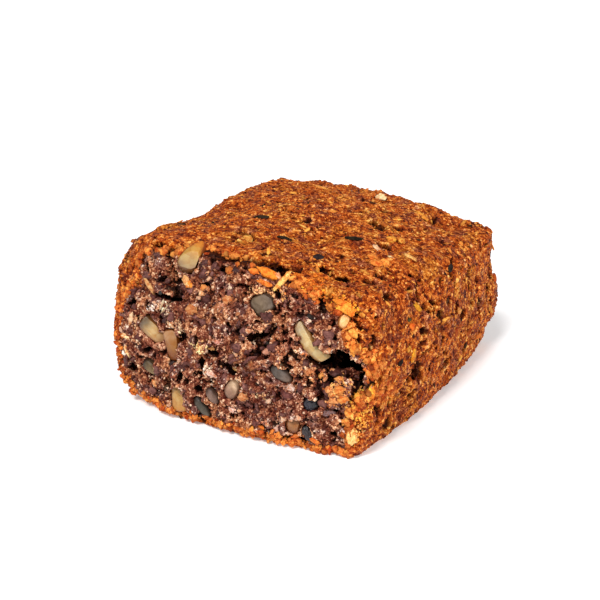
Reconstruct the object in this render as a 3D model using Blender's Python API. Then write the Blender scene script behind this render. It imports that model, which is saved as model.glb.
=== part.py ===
"""Banana bread: the cut end of a small nut and oat loaf, with the nuts, seeds and raisins of its cut face.

Metres, +Z up. The origin is on the underside, at the middle of the bounding box. The cut face looks
along -Y; the sides, the far end, the top and the underside carry the baked crust.
"""

import math
import random

import bmesh
import bpy
from mathutils import Matrix, Vector, noise

MM = 0.001

# The loaf: width and length at the foot, and the height of the top's four corners.
WIDTH = 76 * MM
LENGTH = 89 * MM
HEIGHT_FRONT_LEFT = 45.5 * MM
HEIGHT_FRONT_RIGHT = 41.5 * MM
HEIGHT_BACK_LEFT = 42.0 * MM
HEIGHT_BACK_RIGHT = 37.0 * MM

# How far the baked shape swells from that block, and how far the cut leans back at the top.
CROWN = 4.6 * MM
SWELL_FRONT = 4.4 * MM
SWELL_BACK = 3.2 * MM
SWELL_LEFT = 1.6 * MM
SWELL_RIGHT = 3.2 * MM
BARREL = 2.6 * MM
FACE_LEAN = 5.0 * MM
BACK_SKEW = -2.4 * MM

# Edge radii, before the relief roughens them.
EDGE_RADIUS = 5.2 * MM
LIP_RADIUS = 4.0 * MM
LEFT_RADIUS = 9.5 * MM
FAR_RADIUS = 4.0 * MM
FOOT_RADIUS = 2.4 * MM

# Fine cells of the surface along X, Y and Z, and the share of their triangles that the relief needs.
CELLS_X = 76
CELLS_Y = 72
CELLS_Z = 40
KEPT_SHARE = 0.18

# Relief on the baked crust and on the torn crumb: size and depth of the lumps.
WAVE_SIZE = 24 * MM
WAVE_DEPTH = 0.8 * MM
CRUST_LUMP = 7.0 * MM
CRUST_DEPTH = 1.0 * MM
CRUMB_LUMP = 5.5 * MM
CRUMB_DEPTH = 1.7 * MM
RELIEF_FADE = 4.0 * MM
RELIEF_SHIFT = Vector((3.1, 7.4, 1.7))

# Hand-made unevenness: place in mm, reach and height (below 0 for a dent).
BUMPS = (
    ((-32, -5, 45), 27 * MM, -2.8 * MM),  # sagging left edge of the top
    ((-36, -40, 43), 14 * MM, -1.2 * MM),  # worn corner of the cut
    ((-31, 27, 42), 6 * MM, -0.6 * MM),  # knobs and dents along the left edge
    ((-31, 8, 45), 6 * MM, 1.0 * MM),
    ((29, 33, 39), 13 * MM, -3.0 * MM),  # low stretch of the far edge
    ((38, 37, 36), 6 * MM, 1.2 * MM),  # knob on the far corner
    ((39, 41, 15), 9 * MM, 1.8 * MM),  # ledge at the far foot
    ((41, 38, 26), 9 * MM, -1.0 * MM),
    ((24, -47, 3), 16 * MM, 1.2 * MM),  # full foot under the cut
)

# Hollows torn in the cut: place in the face and half sizes along X, Y and Z in mm, turn about Y in degrees.
FACE_HOLLOWS = (
    ((34.4, 24.4), (6.6, 8.0, 4.0), 12),  # cave beside the right crust
    ((38.0, 19.4), (2.3, 6.0, 5.0), -8),
    ((28.8, 24.3), (4.4, 6.0, 2.1), 16),
    ((31.4, 19.0), (1.3, 4.5, 3.4), 0),
    ((11.6, 28.3), (3.4, 5.0, 1.4), 6),  # cleft in the middle
    ((14.6, 30.0), (1.4, 4.0, 3.4), 24),
    ((14.2, 26.2), (2.1, 4.5, 2.6), 12),
    ((11.6, 24.0), (2.2, 3.5, 1.2), -10),
    ((-17.3, 33.1), (5.8, 3.5, 1.0), -5),  # crack at the upper left
    ((5.3, 17.3), (2.6, 3.4, 1.2), 6),
    ((29.6, 16.0), (1.5, 3.5, 1.8), 0),
)
# Hollows in the crust: place in mm, half sizes along X, Y and Z, turn about Z in degrees.
CRUST_HOLLOWS = (
    ((25.6, -31.8, 43.6), (6.8, 1.8, 3.4), -6),  # slit across the top
    ((12.6, -37.6, 45.6), (5.0, 1.9, 3.0), 4),  # cleft behind the broken lip
    ((-2.3, -36.6, 46.8), (2.4, 1.8, 2.2), -6),
    ((-23.5, -43.6, 42.6), (3.4, 2.4, 1.2), 12),
    ((43.0, -20.9, 15.8), (2.4, 1.7, 2.9), 0),  # pits of the right side
    ((43.6, -17.5, 22.4), (2.0, 5.0, 0.9), 0),
    ((43.4, 4.6, 24.5), (2.2, 1.8, 1.9), 0),
    ((42.6, -12.4, 30.8), (2.0, 1.4, 1.5), 0),
    ((38.6, -20.6, 39.6), (2.6, 2.0, 1.5), 0),
    ((39.0, -14.6, 39.2), (2.4, 2.0, 1.5), 0),
)
HOLLOW_ROUGHNESS = 0.28
HOLLOW_GRAIN = 2.6 * MM

# Clearance between the crumb and each piece sunk in it.
GAP = 0.35 * MM

# Pieces that show in the cut: material, place in mm, length, width and depth, turn in the face (degrees
# above +X), tip back over the lip (degrees), squareness, bow of the long axis and taper towards its end.
PIECES = {
    "nut_corner": ("nut", (-11.3, 45.4), (10.4, 5.9, 4.0), 90, 54, 0.70, 0.0, 0.40),
    "nut_slice_long": ("nut", (-21.0, 23.2), (8.6, 4.1, 3.6), -39, 0, 0.50, 0.3, 0.22),
    "nut_slice_short": ("nut", (-14.2, 21.0), (8.8, 4.1, 3.6), -77, 0, 0.50, -0.4, 0.05),
    "nut_wedge": ("nut", (-12.4, 7.0), (10.0, 4.7, 3.6), -83, 0, 0.55, 0.0, -0.24),
    "nut_strip": ("nut", (25.9, 29.3), (11.8, 3.2, 3.2), -45, 0, 0.45, 1.6, -0.08),
    "nut_chip": ("nut", (33.6, 35.6), (4.2, 3.0, 3.0), 78, 10, 0.90, 0.0, 0.0),
    "nut_round": ("nut", (22.2, 7.3), (5.4, 4.0, 3.0), 84, 0, 0.80, 0.0, 0.1),
    "seed_high": ("seed", (12.2, 36.7), (6.4, 5.4, 3.0), 30, 0, 0.60, 0.0, 0.1),
    "seed_middle": ("seed", (19.0, 20.5), (6.6, 3.6, 3.2), -24, 0, 0.95, 0.0, 0.15),
    "seed_pale": ("seed", (5.1, 13.6), (5.8, 4.0, 3.0), 64, 0, 0.90, 0.0, 0.1),
    "seed_left": ("seed", (-21.1, 12.9), (5.6, 3.4, 2.8), -30, 0, 0.85, 0.0, 0.2),
    "seed_foot": ("seed", (-4.6, 6.0), (6.6, 2.9, 2.8), -46, 0, 0.90, 0.2, 0.1),
    "seed_foot_upper": ("seed", (-0.9, 10.1), (5.0, 3.0, 2.8), -50, 0, 0.90, 0.0, 0.1),
    "raisin_right": ("raisin", (26.7, 13.5), (4.8, 4.5, 3.6), 20, 0, 0.95, 0.0, 0.0),
    "raisin_foot": ("raisin", (26.5, 5.7), (4.6, 3.2, 3.0), -58, 0, 0.90, 0.0, 0.0),
}
SUNK_SHARE = {"nut": 0.30, "seed": 0.26, "raisin": 0.26}
LARGE_PIECE = 7.0

# Oat flakes fused to the crust: size, how many fall on each side by chance, and those put by hand.
FLAKE_LENGTH = 6.0 * MM
FLAKE_WIDTH = 3.4 * MM
FLAKE_HEIGHT = 1.3 * MM
FLAKES_BY_CHANCE = 9
CHANCE_SEED = 11
FLAKES_BY_HAND = (
    ((-6.9, -22.3, 46.8), 10),
    ((3.1, -10.2, 46.5), 0),
    ((26.2, 3.0, 43.4), 70),
    ((-9.0, 24.4, 45.8), 20),
    ((3.4, 38.0, 42.6), -40),
    ((16.5, 36.0, 41.6), -30),
    ((34.0, -9.0, 42.0), -35),
)

COLOURS = {
    "crust": ((0.26, 0.11, 0.045, 1.0), 0.8),
    "nut": ((0.62, 0.50, 0.27, 1.0), 0.45),
    "seed": ((0.20, 0.19, 0.15, 1.0), 0.45),
    "raisin": ((0.035, 0.04, 0.06, 1.0), 0.4),
}


def clear_scene():
    """Remove every object of the open file."""
    for old in list(bpy.data.objects):
        bpy.data.objects.remove(old, do_unlink=True)


def mix(low, high, share):
    """Value between low and high."""
    return low + (high - low) * share


def smoothstep(low, high, value):
    """0 below low, 1 above high, smooth between."""
    share = min(1.0, max(0.0, (value - low) / (high - low)))
    return share * share * (3.0 - 2.0 * share)


def edge_radius(unit):
    """Radius of the rounded edge nearest to a point of the unit cube."""
    radius = mix(FOOT_RADIUS, EDGE_RADIUS, smoothstep(-0.9, -0.1, unit.z))
    lip = smoothstep(0.2, 1.0, unit.z) * smoothstep(0.1, 0.9, -unit.y)
    left = smoothstep(0.3, 1.0, -unit.x) * smoothstep(-0.4, 0.9, -unit.y)
    far = smoothstep(0.2, 1.0, unit.x) * smoothstep(0.2, 1.0, unit.y)
    radius = mix(radius, LIP_RADIUS, lip)
    radius = mix(radius, LEFT_RADIUS, left)
    return mix(radius, FAR_RADIUS, far)


def block_point(unit):
    """Carry a point of the unit cube to the loaf: rounded edges, swollen sides, leaning cut, crowned top."""
    half = Vector((WIDTH / 2, LENGTH / 2, HEIGHT_FRONT_LEFT / 2))
    radius = edge_radius(unit)
    point = Vector(unit[i] * half[i] for i in range(3))
    inner = Vector(max(radius - half[i], min(half[i] - radius, point[i])) for i in range(3))
    point = inner + (point - inner).normalized() * radius

    rise = (point.z + half.z) / (2 * half.z)
    across = (point.x / half.x + 1) / 2
    along = (point.y / half.y + 1) / 2
    front = mix(HEIGHT_FRONT_LEFT, HEIGHT_FRONT_RIGHT, across)
    back = mix(HEIGHT_BACK_LEFT, HEIGHT_BACK_RIGHT, across)
    crown = CROWN * math.sin(math.pi * across) * math.sin(math.pi * mix(0.12, 0.80, along))

    bow_x = math.sin(math.pi * along)
    bow_y = math.sin(math.pi * across)
    barrel = BARREL * math.sin(math.pi * rise)
    right = across**2 * (SWELL_RIGHT * bow_x + barrel) + BACK_SKEW * (along - 0.5) * across
    left = (1 - across) ** 2 * (SWELL_LEFT * bow_x + barrel)
    forward = (1 - along) ** 2 * (SWELL_FRONT * bow_y + barrel) - FACE_LEAN * rise * (1 - along)
    backward = along**2 * SWELL_BACK * bow_y
    return Vector((point.x + right - left, point.y + backward - forward, rise * (mix(front, back, along) + crown)))


def on_face(x, z):
    """The point of the smooth cut face at this x and z, both in mm."""
    unit = Vector((x * MM / (WIDTH / 2), -1.0, 2 * z * MM / HEIGHT_FRONT_LEFT - 1.0))
    for _ in range(8):
        point = block_point(unit)
        unit.x += (x * MM - point.x) / (WIDTH / 2)
        unit.z += (z * MM - point.z) / (HEIGHT_FRONT_LEFT / 2)
    return block_point(unit)


def lumps(point, size):
    """Rounded lumps with creases between them, from below 0 in a crease to 1 on a lump."""
    distances, _ = noise.voronoi(point / size + RELIEF_SHIFT)
    return 1.0 - 1.9 * distances[0] ** 2


def relief(point, normal):
    """Height of the relief at a point of the smooth loaf."""
    torn = smoothstep(0.55, 0.9, -normal.y)
    wave = noise.noise(point / WAVE_SIZE + RELIEF_SHIFT) * WAVE_DEPTH
    crust = (lumps(point, CRUST_LUMP) - 0.5) * CRUST_DEPTH
    crumb = (lumps(point, CRUMB_LUMP) - 0.5) * CRUMB_DEPTH
    bumps = 0.0
    for place, reach, height in BUMPS:
        near = max(0.0, 1.0 - (point - Vector(place) * MM).length / reach)
        bumps += height * smoothstep(0.0, 1.0, near)
    return wave + mix(crust, crumb, torn) + bumps


def loaf_mesh():
    """The loaf as a closed cage: a cut cube, rounded, warped and given its relief, with a flat underside."""
    bm = bmesh.new()
    bmesh.ops.create_cube(bm, size=2.0)
    for axis, cells in enumerate((CELLS_X, CELLS_Y, CELLS_Z)):
        rails = [e for e in bm.edges if abs((e.verts[0].co - e.verts[1].co)[axis]) > 1e-6]
        bmesh.ops.subdivide_edges(bm, edges=rails, cuts=cells - 1, use_grid_fill=True)
    for vert in bm.verts:
        vert.co = block_point(vert.co)
    bm.normal_update()
    raised = []
    for vert in bm.verts:
        fade = smoothstep(0, RELIEF_FADE, vert.co.z)
        raised.append(vert.co + vert.normal * relief(vert.co, vert.normal) * fade)
    for vert, place in zip(bm.verts, raised):
        vert.co = place
    under = [f for f in bm.faces if all(v.co.z < 1e-6 for v in f.verts)]
    bmesh.ops.dissolve_faces(bm, faces=under, use_verts=True)
    mesh = bpy.data.meshes.new("loaf")
    bm.to_mesh(mesh)
    bm.free()
    return mesh


def hollow(name, centre, half_sizes, turn, axis, cutters):
    """A lumpy ellipsoid cutter."""
    bm = bmesh.new()
    bmesh.ops.create_icosphere(bm, subdivisions=2, radius=1.0)
    place = Matrix.Translation(centre) @ Matrix.Rotation(math.radians(turn), 4, axis)
    place = place @ Matrix.Diagonal((*(Vector(half_sizes) * MM), 1.0))
    for vert in bm.verts:
        rough = noise.noise((place @ vert.co) / HOLLOW_GRAIN)
        vert.co *= 1.0 + HOLLOW_ROUGHNESS * rough
    bm.transform(place)
    add_object(name, bm, cutters, cutter=True)


def piece_mesh(sizes, squareness, bow, taper, grow):
    """A rounded morsel along X: a sphere with squared sections, a bowed axis and a tapered end."""
    length, width, depth = (size * MM / 2 + grow for size in sizes)
    segments, rings = (12, 8) if sizes[0] > LARGE_PIECE else (9, 6)
    bm = bmesh.new()
    bmesh.ops.create_uvsphere(bm, u_segments=segments, v_segments=rings, radius=1.0)
    bm.transform(Matrix.Rotation(math.radians(90), 4, "Y"))
    for vert in bm.verts:
        x, y, z = (math.copysign(abs(c) ** squareness, c) for c in vert.co)
        narrow = 1.0 - taper * x
        vert.co = Vector((x * length, y * depth * narrow, z * width * narrow + bow * MM * (x * x - 0.5)))
    return bm


def add_object(name, bm, collection, cutter=False):
    """Make an object of a bmesh, and free the bmesh."""
    mesh = bpy.data.meshes.new(name)
    bm.to_mesh(mesh)
    bm.free()
    made = bpy.data.objects.new(name, mesh)
    collection.objects.link(made)
    if cutter:
        made.hide_render = True
        made.display_type = "WIRE"
    return made


def add_piece(name, loaf, parts, cutters, materials):
    """One nut, seed or raisin in the cut face, and the pocket that it lies in."""
    kind, (x, z), sizes, turn, tip, squareness, bow, taper = PIECES[name]
    _, face, _, _ = loaf.closest_point_on_mesh(on_face(x, z))
    inward = Matrix.Rotation(math.radians(-tip), 4, "X") @ Vector((0, 1, 0))
    place = Matrix.Translation(face + inward * sizes[2] * MM * SUNK_SHARE[kind])
    place = place @ Matrix.Rotation(math.radians(-tip), 4, "X") @ Matrix.Rotation(math.radians(-turn), 4, "Y")
    for grow, label, group in ((0.0, name, parts), (GAP, "pocket_" + name, cutters)):
        bm = piece_mesh(sizes, squareness, bow, taper, grow)
        bm.transform(place)
        made = add_object(label, bm, group, cutter=group is cutters)
        made.data.materials.append(materials[kind])


def fuse_flakes(loaf):
    """Oat flakes half sunk in the crust: some by hand, the rest by seeded chance, away from the cut."""
    flakes = new_collection("flakes")
    draw = random.Random(CHANCE_SEED)
    spots = [(Vector(place) * MM, turn) for place, turn in FLAKES_BY_HAND]
    while len(spots) < len(FLAKES_BY_HAND) + FLAKES_BY_CHANCE:
        ray = Vector((draw.uniform(-1, 1), draw.uniform(-0.4, 1), draw.uniform(-0.25, 1))).normalized()
        spots.append((Vector((0, 0, 20 * MM)) + ray * WIDTH, draw.uniform(0, 180)))
    for number, (spot, turn) in enumerate(spots):
        _, place, normal, _ = loaf.closest_point_on_mesh(spot)
        turned = normal.to_track_quat("Z", "X").to_matrix().to_4x4() @ Matrix.Rotation(math.radians(turn), 4, "Z")
        bm = bmesh.new()
        bmesh.ops.create_icosphere(bm, subdivisions=1, radius=0.5)
        bm.transform(Matrix.Diagonal((FLAKE_LENGTH, FLAKE_WIDTH, FLAKE_HEIGHT, 1.0)))
        bm.transform(Matrix.Translation(place) @ turned)
        add_object(f"flake_{number:02d}", bm, flakes)
    boolean(loaf, "fused_flakes", "UNION", flakes)
    apply_modifiers(loaf)
    for flake in list(flakes.objects):
        bpy.data.objects.remove(flake, do_unlink=True)
    bpy.data.collections.remove(flakes)


def new_collection(name):
    """A collection in the scene."""
    made = bpy.data.collections.new(name)
    bpy.context.scene.collection.children.link(made)
    return made


def material(name, colour, roughness):
    """A plain Principled material."""
    made = bpy.data.materials.new(name)
    made.use_nodes = True
    shader = made.node_tree.nodes["Principled BSDF"]
    shader.inputs["Base Color"].default_value = colour
    shader.inputs["Roughness"].default_value = roughness
    return made


def boolean(target, name, operation, collection):
    """Join a collection to the target or cut it away."""
    made = target.modifiers.new(name, "BOOLEAN")
    made.operation = operation
    made.operand_type = "COLLECTION"
    made.collection = collection
    made.solver = "EXACT"


def apply_modifiers(target):
    """Give the target the mesh that its modifiers make, and remove them."""
    graph = bpy.context.evaluated_depsgraph_get()
    made = bpy.data.meshes.new_from_object(target.evaluated_get(graph))
    old, name = target.data, target.data.name
    target.modifiers.clear()
    target.data = made
    bpy.data.meshes.remove(old)
    made.name = name


def centre(parts):
    """Move everything so that the origin is on the underside, at the middle of the bounding box."""
    bpy.context.view_layer.update()
    graph = bpy.context.evaluated_depsgraph_get()
    corners = [Vector(c) for made in parts.objects for c in made.evaluated_get(graph).bound_box]
    low, high = (Vector(pick(c[i] for c in corners) for i in range(3)) for pick in (min, max))
    move = Matrix.Translation((-(low.x + high.x) / 2, -(low.y + high.y) / 2, -low.z))
    for made in bpy.data.objects:
        made.data.transform(move)


def main():
    clear_scene()
    materials = {name: material(name, colour, rough) for name, (colour, rough) in COLOURS.items()}
    parts = new_collection("banana_bread")
    cutters = new_collection("cutters")

    loaf = bpy.data.objects.new("loaf", loaf_mesh())
    parts.objects.link(loaf)
    thinner = loaf.modifiers.new("fewer_triangles", "DECIMATE")
    thinner.ratio = KEPT_SHARE
    apply_modifiers(loaf)
    loaf.data.materials.append(materials["crust"])
    fuse_flakes(loaf)

    for number, ((x, z), sizes, turn) in enumerate(FACE_HOLLOWS):
        hollow(f"face_hollow_{number}", on_face(x, z), sizes, turn, "Y", cutters)
    for number, (place, sizes, turn) in enumerate(CRUST_HOLLOWS):
        hollow(f"crust_hollow_{number}", Vector(place) * MM, sizes, turn, "Z", cutters)
    for name in PIECES:
        add_piece(name, loaf, parts, cutters, materials)
    boolean(loaf, "hollows_and_pockets", "DIFFERENCE", cutters)
    centre(parts)


main()
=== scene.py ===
"""Looks of the banana bread: baked crust, torn crumb, nuts, seeds and raisins, flakes and crumbs."""

import math
from contextlib import contextmanager

import bmesh
import bpy
import numpy as np
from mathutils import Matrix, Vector, noise
from mathutils.bvhtree import BVHTree
from mathutils.kdtree import KDTree


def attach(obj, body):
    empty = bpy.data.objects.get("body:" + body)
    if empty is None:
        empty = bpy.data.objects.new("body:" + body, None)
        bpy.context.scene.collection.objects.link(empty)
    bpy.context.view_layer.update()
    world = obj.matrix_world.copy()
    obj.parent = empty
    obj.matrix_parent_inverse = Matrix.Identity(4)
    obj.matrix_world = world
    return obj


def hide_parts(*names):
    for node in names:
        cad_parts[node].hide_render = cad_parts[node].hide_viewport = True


MM = 0.001

# Camera and light
CAMERA_AZIMUTH = 30.27
CAMERA_ELEVATION = 20.8
CAMERA_DISTANCE = 348 * MM
CAMERA_TARGET = Vector((-4.19, 1.28, 20.0)) * MM
CAMERA_LENS = 72.0
SUNS = (  # name, direction to the light, strength, width in degrees
    ("key", (0.0, -0.60, 0.80), 2.7, 20.0),
    ("fill", (0.90, -0.25, 0.45), 1.42, 35.0),
)
SKY = 0.38

# The cut in (x, height) in mm, counted from its upper left corner along the lip and down the right side.
CUT_OUTLINE = (
    (-28.5, 43.5), (-24.2, 45.8), (-19.4, 45.8), (-15, 45.8), (-9, 47.6), (-3.5, 47), (1.6, 46.5), (7, 46.6),
    (13, 46.2), (15.5, 44.6), (18.7, 43.2), (22, 42), (26, 40.6), (32, 38.6), (34.1, 34.1), (36.6, 30.2),
    (39.4, 28.3), (40.4, 23.9), (40.4, 20.2), (39.6, 17.4), (37.2, 15.6), (36.4, 11.2), (35.8, 1.8),
    (10, 2.2), (-14, 1.8), (-23, 2.8), (-30, 4.6), (-33.2, 9.6), (-34.2, 18), (-33.2, 26.4), (-31.7, 31),
    (-29.6, 34), (-27, 37), (-27.6, 40),
)
CUT_FRONT = -45.0  # y of the cut, in mm
CUT_BACK = -28.0  # everything further back is crust
LIP_LEAN = 0.33  # how much of the way back over the lip counts as height
FAR_FROM_CUT = -7.0  # distance to the outline where scattered kernels begin
LEDGE_GAP = (2.0, 17.0, -40.0)  # left, right and front of the gap behind the ledge, kept free of crumbs
CAVE = (21.5, 36.0, -40.8)  # foot, roof and mouth of the cave, kept free of pale crumbs

# Skin of the loaf
SKIN_VOXEL = 0.45 * MM
PIECE_VOXEL = 0.22 * MM
ENVELOPE_CELL = 0.5 * MM
LUMPS = (4.6 * MM, 2.1 * MM, 1.1 * MM)  # coarse, middle and fine lumps of the crumb
KNOBS = (4.0 * MM, 1.7 * MM)  # knobs and small lumps of the crust
CRUST_PITS = 680
CRUMB_PITS = 420
CUT_END = -36.5 * MM  # the skin is parted here and along x = 0

# Grain and patches of the materials, in cells to a metre
GRAIN_CELLS, GRAIN_BROAD, GRAIN_SMALL = 1150.0, 420.0, 1700.0
PATCHES = (140.0, 260.0)
LIP_PATCHES = 420.0

# A spot is given on a face of the loaf: two places in mm, met by a ray that runs along the third.
FACES = {  # the ray's start and run, and the two directions that the places count along
    "cut": ((0, -80, 0), (0, 1, 0), (1, 0, 0), (0, 0, 1)),
    "top": ((0, 0, 80), (0, 0, -1), (1, 0, 0), (0, 1, 0)),
    "side": ((80, 0, 0), (-1, 0, 0), (0, 1, 0), (0, 0, 1)),
}
RAY_TO_LOAF = 38  # about how far a ray runs before it meets the loaf, in mm
SPOT_REACH = 0.9 * MM  # the normal of a spot is averaged over places this far apart

# Tears pressed into the skin: two places, half length, half width and depth in mm, turn in degrees.
TEARS = (("top", (  # under and behind the lip, then over the crust
    (-0.8, -38.5, 3.2, 2, 2.6, 5), (2.6, -37.5, 1.8, 1.6, 2, 0), (9.8, -36.6, 5.8, 2.1, 4.6, -3),
    (4.6, -37.4, 2.6, 1.2, 2.6, 10), (15.6, -35, 2.2, 2.2, 3, 60), (21.5, -31.2, 3.6, 1.2, 3.6, 4),
    (26, -30, 3.6, 1.3, 3.6, 12), (32.8, -27.6, 2.4, 1.4, 1.8, 0), (33.5, -22.2, 2, 2.2, 2.4, 20),
    (31, -15.5, 1.5, 1.8, 1.6, 0), (-24, -38.6, 3.2, 1.1, 2.4, 4), (-18.4, -39, 2.4, 1, 2.2, 0),
    (-13.4, -38.6, 1.3, 1.7, 1.8, 0), (17.5, 8, 3.2, 1.6, 1.8, -20), (3.4, -22.4, 2.6, 1, 1.2, -10),
    (22, 11, 2.2, 1.8, 1.8, 0), (-6, -30, 2.4, 1.4, 1.4, 10), (9, -30.5, 2, 1.5, 1.4, 0),
    (-8, 0, 2.6, 1.6, 1.4, 15), (5, -9, 2.4, 1.5, 1.4, -5), (-16, -14, 2.2, 1.4, 1.2, 10),
    (27, 20, 2, 2, 1.6, 0),
)), ("cut", (  # across the crumb, then the cave beside the pale strip
    (-17.5, 32.8, 4.6, 0.7, 2, -3), (10.5, 27, 4.6, 1.3, 2.6, 18), (14.3, 29, 1.8, 0.9, 2, 60),
    (12.5, 25, 1.6, 0.8, 1.4, -60), (3.4, 17.2, 1.8, 0.8, 1.6, -10), (-5.5, 38.4, 2.6, 0.6, 1.2, -5),
    (22, 35.8, 2, 0.7, 1.2, 0), (4.5, 40.5, 2.6, 0.6, 1.4, 12), (-16.6, 36.8, 2.2, 0.5, 1, 20),
    (20.5, 22.4, 1.4, 1.8, 1.8, 0), (-1, 23.8, 1.4, 0.6, 1.2, 70), (23.6, 20.6, 1.2, 1, 1.4, 0),
    (-24.5, 12.5, 2.2, 1, 1.2, -15), (-21, 7.4, 1.8, 0.8, 1, 0), (22.5, 3.8, 1.6, 1.2, 1, 0),
    (27, 24.6, 3.2, 1.4, 3.2, -15), (33, 25.4, 3.6, 1.6, 2.6, 5), (30, 20.6, 0.9, 2.6, 2.4, 0),
    (37.6, 19.8, 1.3, 2.6, 2.6, 0), (35.8, 23.2, 2.8, 1.7, 2.4, 0), (31.5, 22.8, 1.6, 1.2, 2.2, 0),
    (37.2, 25, 2.6, 2, 3, 0), (38.6, 21.6, 1.6, 3, 2.6, 0), (32.6, 23, 2.6, 1.4, 2.2, 20),
)), ("side", (
    (-17, 14.3, 2.3, 2.4, 3, 0), (-13, 19.5, 3.4, 1, 1.8, 12), (11.5, 21.5, 1.9, 1.5, 2.2, 0),
    (-8.5, 29, 1.2, 1.1, 1.6, 0), (-2.5, 35.4, 2.6, 0.9, 1, 60), (-18.5, 38, 2.4, 1.1, 2.2, 0),
    (-12, 37.6, 2.6, 1.1, 2.2, 8), (12, 34.4, 1, 1, 1.3, 0), (10, 37, 1.2, 0.8, 1.2, 0),
    (-37.3, 12.5, 1.6, 2.8, 2, 0), (-31.5, 5.6, 2.2, 2.4, 1.6, 0), (-42, 32.3, 0.8, 1.6, 1.6, 0),
    (-40.5, 37.4, 1.6, 1.2, 1.6, 0), (-27.3, 7.1, 1.6, 2, 1.4, 0), (22, 9.2, 1.4, 1.6, 1.4, 0),
    (-1, 14.5, 1.3, 1.4, 1.2, 0), (-25, 11, 1.2, 1.6, 1.4, 0), (17, 28, 1.2, 1.4, 1.3, 0),
    (25, 20.8, 1.4, 1.4, 1.4, 0), (4.5, 31, 1.6, 0.9, 1.1, 50),
)))

# Lumps raised on the skin, with the same measures: the last but one is the height.
MOUNDS = (("top", (
    (27, -9.5, 2.2, 2.2, 0.9, 0), (30.5, -18.5, 3, 2.6, 1.1, 0), (31.6, -13.5, 2.4, 2.4, 0.9, 0),
    (33.4, -39, 2.6, 2, 1, 0),
)), ("cut", (
    (13.7, 24.6, 2.4, 1.4, 1.2, 10), (9.8, 21.4, 2, 1.7, 0.8, 0), (26.8, 21.8, 2.2, 1.6, 1.2, 0),
    (33.8, 18.6, 3, 2.8, 2, 0), (35.4, 13.6, 2.2, 2.6, 1.2, 0), (32.9, 10.5, 2.4, 2.2, 0.8, 0),
    (-8, 32.7, 1.7, 1.5, 0.7, 0), (-21.6, 40.4, 4.2, 3.8, 1.2, 0), (-4.5, 23.2, 1.9, 1.8, 0.7, 0),
)), ("side", (
    (-42.5, 30, 1.4, 3, 0.9, 0), (-41.5, 18, 1.2, 3.4, 1, 0),
)))

# The pieces by kind: three colours from one end of the piece to the other, the first at the low end of its
# longest direction, and the flat sides that the knife left, the front first: where each faces, and its depth.
PLAIN_FRONT = ((0, -1, 0, 0.15),)
PIECES = {
    "nut": {
        "nut_corner": (
            ((140, 114, 78), (186, 150, 76), (200, 112, 4)),
            (
                (0.15, -0.72, 0.68, 0.8), (-0.85, 0.43, 0.31, 1.8), (0.98, 0.1, -0.1, 0.6),
                (0, 0.81, 0.59, 0.8),
            ),
        ),
        "nut_slice_long": (
            ((158, 112, 68), (190, 160, 112), (104, 88, 70)),
            ((0.42, -0.84, 0.34, 0.8), (0.63, 0, 0.78, 0.3), (-0.63, 0, -0.78, 0.35)),
        ),
        "nut_slice_short": (((126, 68, 20), (146, 94, 36), (170, 132, 98)), ((0.25, -0.92, 0.3, 0.6),)),
        "nut_wedge": (
            ((196, 144, 66), (182, 146, 88), (146, 108, 68)),
            ((0.3, -0.9, 0.3, 0.8), (0.99, 0, 0.12, 0.3), (-0.99, 0, -0.12, 0.3)),
        ),
        "nut_strip": (
            ((158, 134, 92), (206, 186, 138), (166, 144, 112)),
            ((0.45, -0.8, 0.4, 0.9), (0.55, 0, -0.83, 0.3)),
        ),
        "nut_chip": (((232, 184, 120), (240, 200, 144), (232, 184, 126)), ((0.4, -0.85, 0.35, 0.4),)),
        "nut_round": (((130, 84, 46), (150, 102, 62), (120, 76, 46)), ((0.3, -0.9, 0.3, 0.5),)),
    },
    "seed": {
        "seed_high": (
            ((96, 78, 60), (118, 98, 76), (106, 90, 78)),
            ((0.2, -0.93, 0.3, 0.5), (-0.9, 0, 0.4, 0.4), (0.4, 0, 0.9, 0.4)),
        ),
        "seed_middle": (((62, 54, 50), (102, 90, 82), (124, 102, 88)), PLAIN_FRONT),
        "seed_pale": (((126, 92, 74), (154, 116, 94), (226, 194, 158)), PLAIN_FRONT),
        "seed_left": (((150, 124, 82), (118, 96, 62), (44, 34, 30)), PLAIN_FRONT),
        "seed_foot": (((88, 80, 68), (76, 70, 58), (56, 44, 38)), PLAIN_FRONT),
        "seed_foot_upper": (((110, 84, 72), (126, 98, 84), (80, 58, 50)), PLAIN_FRONT),
    },
    "raisin": {
        "raisin_right": (((22, 18, 22), (46, 44, 56), (24, 20, 24)), PLAIN_FRONT),
        "raisin_foot": (((34, 22, 24), (50, 34, 36), (24, 14, 16)), PLAIN_FRONT),
    },
}
# What the colour is multiplied by at the edges of the pieces
PIECE_EDGES = {"nut": (0.5, 0.28, 0.12), "seed": (0.42, 0.36, 0.32), "raisin": (0.6, 0.55, 0.6)}

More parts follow.
